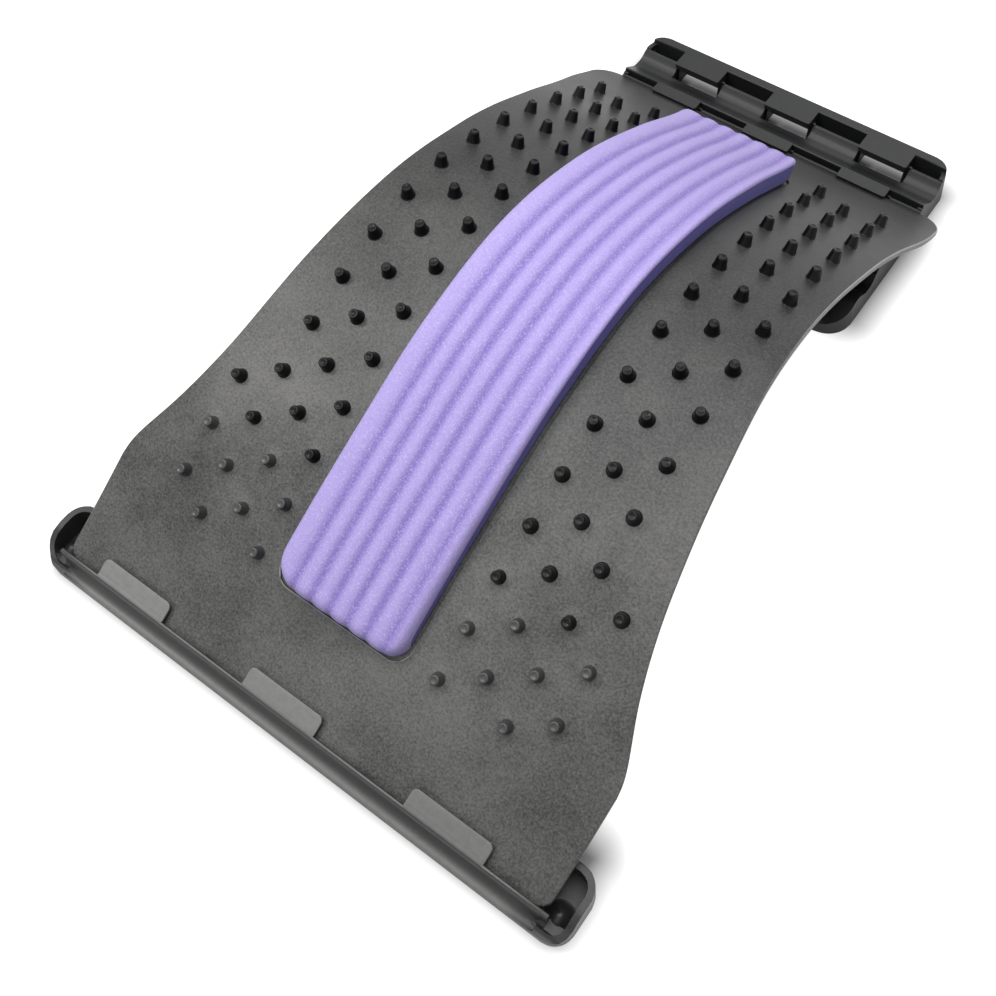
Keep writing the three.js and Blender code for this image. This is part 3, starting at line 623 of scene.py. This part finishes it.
def plateOutline():
    # in millimetres, from the near right corner round the far end to the near left one
    nearHalf, waistHalf, farHalf = (plateLook[k] / 2 for k in ("nearWidth", "waistWidth", "farWidth"))
    waistAt = bow["start"] + (bow["end"] - bow["start"]) * plateLook["waistShare"]
    turnIn = bow["start"] + plateLook["nearShoulder"]
    turnOut = bow["end"] - plateLook["farShoulder"]
    side = [Vector((waistHalf + (nearHalf - waistHalf) * share, turnIn + (waistAt - turnIn) * run))
            for run, share in plateLook["nearSides"]]
    side += [Vector((waistHalf + (farHalf - waistHalf) * share, waistAt + (turnOut - waistAt) * run))
             for run, share in plateLook["farSides"]]
    right = []
    near, far = plateLook["nearCorner"], plateLook["farCorner"]
    for step in range(plateLook["nearSteps"] + 1):
        angle = math.pi / 2 * (step / plateLook["nearSteps"] - 1)
        right.append(Vector((
            nearHalf - near + near * math.cos(angle), bow["start"] + near + near * math.sin(angle))))
    right += spline(side, plateLook["sideSteps"], 0, False)
    for step in range(plateLook["farSteps"] + 1):
        angle = math.pi / 2 * step / plateLook["farSteps"]
        right.append(Vector((
            farHalf - far + far * math.cos(angle), bow["end"] - far + far * math.sin(angle))))
    return right + [Vector((-p.x, p.y)) for p in reversed(right)]


def band(name, first, last, low, high, spans, half):
    # the space between two offsets of the bow, right across the plate
    points = []
    for i in range(spans + 1):
        along = first + (last - first) * i / spans
        for x, lift in ((-half, low), (half, low), (half, high), (-half, high)):
            points.append(onBow(along, lift, x))
    faces = [(0, 3, 2, 1), tuple(spans * 4 + i for i in range(4))]
    for i in range(spans):
        for k in range(4):
            n = (k + 1) % 4
            faces.append((i * 4 + k, i * 4 + n, (i + 1) * 4 + n, (i + 1) * 4 + k))
    mesh = meshFrom(name, points, faces)
    recalculate(mesh)
    return mesh


def makePlate():
    # the sheet and the recess are cut from blocks that reach a little over them
    over, reach = plateLook["over"], plateLook["recessReach"]
    sheet = newObject("plate_sheet", band(
        "plate_sheet", -over, bowLength + over, -plateLook["thickness"], 0, plateLook["spans"],
        plateLook["nearWidth"] / 2 + over))
    outline = newObject("plate outline", prism("plate outline", plateOutline(), 0, bow["crest"] + over))
    first = padLook["start"] - plateLook["recessMargin"]
    last = padLook["start"] + padLook["length"] + plateLook["recessMargin"]
    padHalf = padLook["width"] / 2 + plateLook["recessMargin"]
    nearY = onBow(first).y / mm + baseHalf
    farY = onBow(last).y / mm + baseHalf
    dip = newObject("recess", band(
        "recess", first - reach, last + reach, -plateLook["recessDepth"], over,
        plateLook["recessSpans"], plateLook["recessHalf"]))
    plan = newObject("recess plan", prism("recess plan", roundedRectangle(
        padLook["shift"] - padHalf, padLook["shift"] + padHalf, nearY, farY, plateLook["recessCorner"]),
        0, bow["crest"] + over))
    cutWith(dip, plan, "INTERSECT")
    settle(dip)
    cutWith(sheet, outline, "INTERSECT")
    cutWith(sheet, dip, "DIFFERENCE")
    settle(sheet)
    bmeshClean(sheet.data)
    smooth(sheet.data, plateLook["sharpAngle"])
    work = bmesh.new()
    work.from_mesh(sheet.data)
    # the near end, which lies under the tabs, stays crisp
    nearEnd = (bow["start"] + plateLook["crispTo"] - baseHalf) * mm
    weighEdges(work, clearOf=lambda edge: max(vertex.co.y for vertex in edge.verts) < nearEnd)
    work.to_mesh(sheet.data)
    work.free()
    sheet.data.materials.clear()
    breakEdges(sheet, plateLook["edgeRound"], plateLook["edgeSteps"], plasticPlate)
    lipHalf = padLook["width"] / 2 + plateLook["lipBeside"]

    def highlightOf(face):
        # painted highlights: the broken edges are paler at the recess's near lip and along the right side
        if face.material_index != 1:
            return 0.0
        away = abs(face.center.y / mm + baseHalf - nearY)
        if away < plateLook["lipFar"] and abs(face.center.x / mm - padLook["shift"]) < lipHalf:
            return plateLook["lipPale"] * between(away, plateLook["lipFar"], plateLook["lipNear"])
        if face.center.x > plateLook["sideBeyond"] and face.normal.z > plateLook["sideUpward"]:
            return plateLook["sidePale"] * between(face.center.y, plateLook["sideFrom"], plateLook["sideTo"])
        return 0.0

    paleEdges(sheet.data, highlightOf)
    sheet.data.materials.pop(index=1)
    for tool in (outline, dip, plan):
        bpy.data.objects.remove(tool)
    return sheet


plate = makePlate()
print("plate made", len(plate.data.polygons))


# nubs: a field of blunt cones that follows the bow

nubLook = {
    "height": 4.8, "base": 5.4, "tip": 3.9, "dish": 0.3, "dishShare": 0.35, "sink": 1.2,
    "footShape": [(0.4, -0.05), (0.12, 0.1), (0, 0.4)],  # mm out from the foot, and up
    "tipShape": [(0.12, 0.9), (0, 0.4), (-0.16, 0.12), (-0.45, 0), (-0.8, 0.05)],  # mm out, and down
    "rows": 29, "rowPitch": 10.5, "firstRow": 44.4,
    "columns": 4, "innerColumn": 42.7, "columnPitch": 14.8,
    "wideRows": 7,  # the outermost column stands only in the first rows
    "moundRows": 5,  # these rows stand on low mounds, in the plate's own finish
    # painted light: the nubs of these rows are also a lighter grey, for the light on their tips
    "dullLitRows": 4,  # and the nubs of these have a duller finish
    "moundWidth": 13, "moundHeight": 0.55, "moundSteps": 8, "moundLift": 0.01,
    "sides": 24, "sharpAngle": 50, "samples": 500,  # stretches of the line that the rows are measured along
}


def nubProfile():
    foot, tip, top = nubLook["base"] / 2, nubLook["tip"] / 2, nubLook["height"]
    dish = top - nubLook["dish"]
    profile = [(0, -nubLook["sink"]), (foot + nubLook["footShape"][0][0], -nubLook["sink"])]
    profile += [(foot + out, up) for out, up in nubLook["footShape"]]
    profile += [(tip + out, top - down) for out, down in nubLook["tipShape"]]
    return profile + [(tip * nubLook["dishShare"], dish), (0, dish)]


def moundProfile():
    # a soft dome that runs out level with the plate
    wide, rise, steps = nubLook["moundWidth"] / 2, nubLook["moundHeight"], nubLook["moundSteps"]
    profile = [(0, -nubLook["sink"]), (wide, -nubLook["sink"])]
    for step in range(steps):
        share = 1 - step / steps
        up = rise * (0.5 + 0.5 * math.cos(math.pi * share)) + nubLook["moundLift"]
        profile.append((wide * share, up))
    return profile + [(0, rise + nubLook["moundLift"])]


def newTree(name, inputs):
    tree = bpy.data.node_groups.new(name, "GeometryNodeTree")
    tree.interface.new_socket("Geometry", in_out="INPUT", socket_type="NodeSocketGeometry")
    for label, kind in inputs:
        tree.interface.new_socket(label, in_out="INPUT", socket_type=kind)
    tree.interface.new_socket("Geometry", in_out="OUTPUT", socket_type="NodeSocketGeometry")
    return tree


def nubFieldTree():
    counts = ("Rows", "Columns", "Wide rows", "From row", "To row")
    measures = ("Row pitch", "First row", "Inner column", "Column pitch")
    tree = newTree("nub field", [
        *((label, "NodeSocketInt") for label in counts), *((label, "NodeSocketFloat") for label in measures),
        ("Nub", "NodeSocketObject"), ("Finish", "NodeSocketMaterial")])
    given = add(tree, "NodeGroupInput").outputs
    path = add(tree, "GeometryNodeMeshToCurve", None, {"Mesh": given["Geometry"]}).outputs["Curve"]
    perRow = sums(tree, "MULTIPLY", given["Columns"], 2)
    spots = add(tree, "GeometryNodePoints", None, {"Count": sums(tree, "MULTIPLY", given["Rows"], perRow)})
    number = add(tree, "GeometryNodeInputIndex").outputs[0]
    row = sums(tree, "FLOOR", sums(tree, "DIVIDE", number, perRow))
    inRow = sums(tree, "SUBTRACT", number, sums(tree, "MULTIPLY", row, perRow))
    column = sums(tree, "FLOOR", sums(tree, "DIVIDE", inRow, 2))
    side = sums(tree, "SUBTRACT", sums(tree, "MULTIPLY", sums(tree, "MODULO", inRow, 2), 2), 1)
    out = sums(tree, "ADD", given["Inner column"], sums(tree, "MULTIPLY", column, given["Column pitch"]))
    across = sums(tree, "MULTIPLY", out, side)
    along = sums(tree, "ADD", given["First row"], sums(tree, "MULTIPLY", row, given["Row pitch"]))
    sample = add(tree, "GeometryNodeSampleCurve", {"mode": "LENGTH"}, {"Curves": path, "Length": along})
    shift = add(tree, "ShaderNodeCombineXYZ", None, {"X": across}).outputs[0]
    spot = add(tree, "ShaderNodeVectorMath", {"operation": "ADD"},
               {0: sample.outputs["Position"], 1: shift})
    upward = add(tree, "ShaderNodeVectorMath", {"operation": "CROSS_PRODUCT"},
                 {0: (1, 0, 0), 1: sample.outputs["Tangent"]})
    placed = add(tree, "GeometryNodeSetPosition", None,
                 {"Geometry": spots.outputs[0], "Position": spot.outputs[0]}).outputs[0]
    # every other place is filled, and the outermost column only in the wide rows
    staggered = sums(tree, "LESS_THAN", sums(tree, "MODULO", sums(tree, "ADD", row, column), 2), 0.5)
    outermost = sums(tree, "GREATER_THAN", column, sums(tree, "SUBTRACT", given["Columns"], 1.5))
    late = sums(tree, "GREATER_THAN", row, sums(tree, "SUBTRACT", given["Wide rows"], 0.5))
    inside = sums(tree, "SUBTRACT", 1, sums(tree, "MULTIPLY", outermost, late))
    filled = sums(tree, "MULTIPLY", staggered, inside)
    begun = sums(tree, "GREATER_THAN", row, sums(tree, "SUBTRACT", given["From row"], 0.5))
    going = sums(tree, "LESS_THAN", row, sums(tree, "SUBTRACT", given["To row"], 0.5))
    kept = sums(tree, "MULTIPLY", filled, sums(tree, "MULTIPLY", begun, going))
    turn = add(tree, "FunctionNodeAlignRotationToVector", {"axis": "Z"},
               {"Vector": upward.outputs[0]}).outputs[0]
    shape = add(tree, "GeometryNodeObjectInfo", None, {"Object": given["Nub"]}).outputs["Geometry"]
    stood = add(tree, "GeometryNodeInstanceOnPoints", None, {
        "Points": placed, "Selection": kept, "Instance": shape, "Rotation": turn})
    real = add(tree, "GeometryNodeRealizeInstances", None, {"Geometry": stood.outputs[0]})
    finish = add(tree, "GeometryNodeSetMaterial", None, {
        "Geometry": real.outputs[0], "Material": given["Finish"]})
    add(tree, "NodeGroupOutput", None, {"Geometry": finish.outputs[0]})
    return tree


def setInputs(modifier, values):
    for item in modifier.node_group.interface.items_tree:
        if item.in_out == "INPUT" and item.name in values:
            modifier[item.identifier] = values[item.name]


def makeNubs(name, tree, profile, fromRow, toRow, finish):
    samples = nubLook["samples"]
    spots = [onBow(bowLength * i / samples) for i in range(samples + 1)]
    mesh = bpy.data.meshes.new(name)
    mesh.from_pydata([tuple(p) for p in spots], [(i, i + 1) for i in range(samples)], [])
    made = newObject(name, mesh)
    shape = lathe("nub", profile, nubLook["sides"])
    recalculate(shape)
    smooth(shape, nubLook["sharpAngle"])
    nub = newObject("nub", shape)
    field = made.modifiers.new("nub field", "NODES")
    field.node_group = tree
    setInputs(field, {
        "Rows": nubLook["rows"], "Columns": nubLook["columns"], "Row pitch": nubLook["rowPitch"] * mm,
        "First row": nubLook["firstRow"] * mm, "Inner column": nubLook["innerColumn"] * mm,
        "Column pitch": nubLook["columnPitch"] * mm, "Wide rows": nubLook["wideRows"],
        "From row": fromRow, "To row": toRow, "Nub": nub, "Finish": finish})
    settle(made)
    bpy.data.objects.remove(nub)
    return made


nubTree = nubFieldTree()
nubs = makeNubs("plate_nubs", nubTree, nubProfile(), nubLook["dullLitRows"], nubLook["rows"], plasticNub)
nearNubs = makeNubs("plate_near_nubs", nubTree, nubProfile(), 0, nubLook["dullLitRows"], plasticNearNubLit)
mounds = makeNubs("plate_mounds", nubTree, moundProfile(), 0, nubLook["moundRows"], plasticPlate)
print("nubs made", len(nubs.data.polygons), len(nearNubs.data.polygons), len(mounds.data.polygons))


# foam pad: a ribbed strip cut from sheet, so it is shaped directly and not simulated

foamShape = {
    "rows": 150, "columns": 118, "endRows": 9, "endRun": 5, "sharpAngle": 50,
    "leftRound": 3.4, "rightRound": 1.3, "rightNearRound": 6, "roundRun": 130,
    "nearRound": 4.6, "farRound": 2.6, "farShare": 0.55, "nearBack": 0.4,
    "nearLeftCorner": 12, "nearRightCorner": 6.6, "farCorner": 4, "scallop": 0.35,
    "grooveHalf": 1.7, "grooveReach": 4.2, "roundShare": 0.75,
    "fadeRun": 9, "fadeTo": 0.35,  # the grooves grow shallow towards both ends
}


def grooveShare(x):
    # narrow grooves with round bottoms between broad ribs
    edges = [padLook["firstRib"] + i * padLook["ribPitch"] for i in range(padLook["ribs"] - 1)]
    nearest = min(abs(x - edge) for edge in edges)
    rounded = math.exp(-(nearest / foamShape["grooveHalf"]) ** 2)
    straight = max(1 - nearest / foamShape["grooveReach"], 0)
    return foamShape["roundShare"] * rounded + (1 - foamShape["roundShare"]) * straight


def cornerBack(gap, radius):
    # how far a round edge or corner has fallen back at a gap from its side
    return radius - math.sqrt(max(radius ** 2 - (radius - min(gap, radius)) ** 2, 0))


def foamPlace(x, share):
    # where the pad starts and ends at a place across it, and how far along it a point lies
    left, right = x, padLook["width"] - x
    scallop = foamShape["scallop"] * grooveShare(x)
    nearLeft = cornerBack(left, foamShape["nearLeftCorner"])
    nearRight = cornerBack(right, foamShape["nearRightCorner"])
    start = max(nearLeft, nearRight) + scallop + foamShape["nearBack"]
    end = padLook["length"] - cornerBack(min(left, right), foamShape["farCorner"]) - scallop
    return start, end, start + (end - start) * share


def spread(count, dense, radius, total):
    # shares from 0 to 1 that crowd towards both ends
    near = [radius * (1 - math.cos(math.pi / 2 * i / dense)) / total for i in range(dense)]
    middle = [near[-1] + (1 - 2 * near[-1]) * i / (count + 1) for i in range(1, count + 1)]
    return near + middle + [1 - s for s in reversed(near)]


def makeFoam():
    width, thick = padLook["width"], padLook["thickness"]
    dense = foamShape["endRows"]
    columns = [s * width for s in spread(foamShape["columns"], dense, foamShape["nearLeftCorner"], width)]
    rows = spread(foamShape["rows"], dense, foamShape["endRun"], padLook["length"])
    left = padLook["shift"] - width / 2
    top, bottom, grooves = [], [], []
    for share in rows:
        for x in columns:
            start, end, along = foamPlace(x, share)
            groove = grooveShare(x)
            fromEnd = min(along - start, end - along) / foamShape["fadeRun"]
            fading = foamShape["fadeTo"] + (1 - foamShape["fadeTo"]) * min(max(fromEnd, 0.0), 1.0)
            height = thick - padLook["grooveDepth"] * groove * fading
            height -= cornerBack(x, foamShape["leftRound"])
            nearer = max(1 - along / foamShape["roundRun"], 0)
            rounder = (foamShape["rightNearRound"] - foamShape["rightRound"]) * nearer
            height -= cornerBack(width - x, foamShape["rightRound"] + rounder)
            height -= cornerBack(along - start, foamShape["nearRound"])
            height -= cornerBack(end - along, foamShape["farRound"]) * foamShape["farShare"]
            past = max(along - (padLook["length"] - padLook["liftLength"]), 0) / padLook["liftLength"]
            lift = padLook["lift"] * past ** 2
            top.append(onBow(padLook["start"] + along, height + lift, left + x))
            bottom.append(onBow(padLook["start"] + along, lift, left + x))
            grooves.append(groove)
    wide, deep = len(columns), len(rows)
    points = top + bottom
    under = len(top)
    faces = []
    for r in range(deep - 1):
        for c in range(wide - 1):
            a = r * wide + c
            faces.append((a, a + 1, a + 1 + wide, a + wide))
            faces.append((under + a, under + a + wide, under + a + 1 + wide, under + a + 1))
    rim = list(range(wide))
    rim += [r * wide + wide - 1 for r in range(1, deep)]
    rim += [(deep - 1) * wide + c for c in range(wide - 2, -1, -1)]
    rim += [r * wide for r in range(deep - 2, 0, -1)]
    topFaces = len(faces)
    for i in range(len(rim)):
        a, b = rim[i], rim[(i + 1) % len(rim)]
        faces.append((a, under + a, under + b, b))
    mesh = bpy.data.meshes.new("foam")
    mesh.from_pydata([tuple(p) for p in points], [], faces)
    mesh.update()
    attribute = mesh.attributes.new("groove", "FLOAT", "POINT")
    attribute.data.foreach_set("value", grooves + [0.0] * len(grooves))
    # the sides carry the painted shade
    side = mesh.attributes.new("cutSide", "FLOAT", "FACE")
    side.data.foreach_set("value", [0.0] * topFaces + [1.0] * (len(faces) - topFaces))
    recalculate(mesh)
    smooth(mesh, foamShape["sharpAngle"])
    mesh.materials.append(foamLilac)
    return newObject("foam_strip", mesh)


foamStrip = makeFoam()
print("foam made", len(foamStrip.data.polygons))


# tape: a thin film under the pad, inside its outline

tapeLook = {
    "left": -27.2, "right": 23.8,  # mm from the middle
    "near": 47.6, "far": 298.9, "corner": 10,  # mm from the near edge of the base
    "low": -0.98, "high": -0.02,  # mm off the top of the plate
    "spans": 110, "reach": 60, "over": 3, "sharpAngle": 35,  # the block that is cut to the outline
    "colour": (0.6, 0.6, 0.56, 1), "paleColour": (0.74, 0.74, 0.7, 1), "cloudScale": 120, "roughness": 0.55,
}


def tapeFilm(name, look):
    material, tree, shader = newMaterial(name)
    place = add(tree, "ShaderNodeTexCoord").outputs["Object"]
    tone = blend(tree, noise(tree, place, look["cloudScale"], 3), look["colour"], look["paleColour"])
    tree.links.new(tone, shader.inputs["Base Color"])
    shader.inputs["Roughness"].default_value = look["roughness"]
    return material


def makeTape():
    tape = newObject("tape_film", band(
        "tape_film", padLook["start"], padLook["start"] + padLook["length"],
        tapeLook["low"], tapeLook["high"], tapeLook["spans"], tapeLook["reach"]))
    plan = newObject("tape plan", prism("tape plan", roundedRectangle(
        tapeLook["left"], tapeLook["right"], tapeLook["near"], tapeLook["far"], tapeLook["corner"]),
        0, bow["crest"] + tapeLook["over"]))
    cutWith(tape, plan, "INTERSECT")
    settle(tape)
    bpy.data.objects.remove(plan)
    bmeshClean(tape.data)
    smooth(tape.data, tapeLook["sharpAngle"])
    tape.data.materials.clear()
    tape.data.materials.append(tapeFilm("adhesive film", tapeLook))
    return tape


tape = makeTape()
print("tape made", len(tape.data.polygons))


# what moves with what

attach(base, "base")
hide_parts("base_plate")
for dressing in [front, bosses, *tabs]:
    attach(dressing, "base")
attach(plate, "arch")
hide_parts("arch_plate")
for field in (nubs, nearNubs, mounds):
    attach(field, "arch")
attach(foamStrip, "arch")
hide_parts("foam_pad")
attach(tape, "arch")
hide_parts("pad_tape")


# floor, light and camera

stageLook = {
    "floorSize": 6, "floorHeight": -0.0002, "floorColour": (0.45, 0.45, 0.45, 1), "lift": 0.96,
    # the base's bar, waist and tray: half their width, and their near and far ends
    "shaded": [(0.118, -0.186, -0.16), (0.045, -0.17, 0.12), (0.079, 0.1, 0.184)],
    "fade": 0.017,  # the floor brightens outside them
    "skyColour": (0.97, 0.98, 1.0, 1), "sky": 0.16,
    "aim": (0, 0, 0.03),  # where the lamps look
}


def gapTo(tree, axes, half, low, high):
    # how far a point of the floor lies outside a box
    beside = sums(tree, "SUBTRACT", sums(tree, "ABSOLUTE", axes["X"]), half)
    middle = sums(tree, "ABSOLUTE", sums(tree, "SUBTRACT", axes["Y"], (low + high) / 2))
    beyond = sums(tree, "SUBTRACT", middle, (high - low) / 2)
    gaps = [sums(tree, "MAXIMUM", gap, 0.0) for gap in (beside, beyond)]
    return sums(tree, "SQRT", sums(tree, "ADD", *(sums(tree, "MULTIPLY", gap, gap) for gap in gaps)))


def seenRays(tree):
    # 1 where the camera, a reflection or a clear surface looks at the backdrop
    rays = add(tree, "ShaderNodeLightPath").outputs
    direct = sums(tree, "MAXIMUM", rays["Is Camera Ray"], rays["Is Transmission Ray"])
    return sums(tree, "MAXIMUM", direct, rays["Is Glossy Ray"])


def makeFloor():
    half, height = stageLook["floorSize"] / 2, stageLook["floorHeight"]
    corners = [(x * half, y * half, height) for x, y in ((-1, -1), (1, -1), (1, 1), (-1, 1))]
    mesh = meshFrom("floor", corners, [(0, 1, 2, 3)])
    floor = newObject("floor", mesh)
    material = bpy.data.materials.new("floor")
    material.use_nodes = True
    tree = material.node_tree
    tree.nodes.clear()
    out = tree.nodes.new("ShaderNodeOutputMaterial")
    matte = add(tree, "ShaderNodeBsdfDiffuse", None, {"Color": stageLook["floorColour"]})
    place = add(tree, "ShaderNodeTexCoord").outputs["Object"]
    axes = add(tree, "ShaderNodeSeparateXYZ", None, {0: place}).outputs
    near = [gapTo(tree, axes, *box) for box in stageLook["shaded"]]
    away = sums(tree, "MINIMUM", near[0], sums(tree, "MINIMUM", near[1], near[2]))
    fade = ramp(tree, away, 0.0, stageLook["fade"], 0.0, stageLook["lift"])
    strength = sums(tree, "MULTIPLY", seenRays(tree), fade)
    glow = add(tree, "ShaderNodeEmission", None, {"Strength": strength})
    both = add(tree, "ShaderNodeAddShader", None, {0: matte.outputs[0], 1: glow.outputs[0]})
    tree.links.new(both.outputs[0], out.inputs["Surface"])
    mesh.materials.append(material)


def makeSky():
    world = bpy.data.worlds.new("studio")
    bpy.context.scene.world = world
    world.use_nodes = True
    tree = world.node_tree
    tree.nodes.clear()
    out = tree.nodes.new("ShaderNodeOutputWorld")
    soft = add(tree, "ShaderNodeBackground", None, {
        "Color": stageLook["skyColour"], "Strength": stageLook["sky"]})
    white = add(tree, "ShaderNodeBackground", None, {"Color": (1, 1, 1, 1), "Strength": 1})
    mix = add(tree, "ShaderNodeMixShader", None, {
        0: seenRays(tree), 1: soft.outputs[0], 2: white.outputs[0]})
    tree.links.new(mix.outputs[0], out.inputs["Surface"])


lamps = {
    "key": {"at": (-0.5, -0.26, 0.78), "size": 0.22, "power": 2.6, "colour": (1.0, 0.99, 0.97)},
    "top": {"at": (0.0, 0.02, 0.8), "size": 0.8, "power": 5.6, "colour": (1, 1, 1)},
    "front": {"at": (-0.35, -0.95, 0.8), "size": 0.7, "power": 1.3, "colour": (1, 1, 1)},
    "back": {"at": (0.0, 1.0, 0.72), "size": 0.8, "power": 1.6, "colour": (1, 1, 1)},
}


def makeLamps():
    for name, lamp in lamps.items():
        data = bpy.data.lights.new(name, "AREA")
        data.shape = "DISK"
        data.size = lamp["size"]
        data.energy = lamp["power"]
        data.color = lamp["colour"]
        made = newObject(name, data)
        made.location = lamp["at"]
        made.rotation_mode = "QUATERNION"
        towards = Vector(stageLook["aim"]) - Vector(lamp["at"])
        made.rotation_quaternion = towards.to_track_quat("-Z", "Y")


view = {
    "azimuth": 41.173, "elevation": 61.779, "roll": -5.516,  # degrees
    "focal": 1143.85, "pixels": 996, "at": (0.15257, -0.23086, 0.41560),
}


def makeCamera():
    azimuth, elevation, roll = (math.radians(view[k]) for k in ("azimuth", "elevation", "roll"))
    level = math.cos(elevation)
    ahead = Vector((-math.sin(azimuth) * level, math.cos(azimuth) * level, -math.sin(elevation)))
    right = Vector((math.cos(azimuth), math.sin(azimuth), 0))
    up = right.cross(ahead)
    turnedRight = right * math.cos(roll) + up * math.sin(roll)
    turnedUp = up * math.cos(roll) - right * math.sin(roll)
    data = bpy.data.cameras.new("camera")
    data.sensor_width = 36
    data.lens = view["focal"] / view["pixels"] * data.sensor_width
    camera = newObject("camera", data)
    place = Matrix((turnedRight, turnedUp, -ahead)).transposed().to_4x4()
    place.translation = Vector(view["at"])
    camera.matrix_world = place
    bpy.context.scene.camera = camera


makeFloor()
makeSky()
makeLamps()
makeCamera()
bpy.context.scene.view_settings.view_transform = "Standard"
print("stage made")
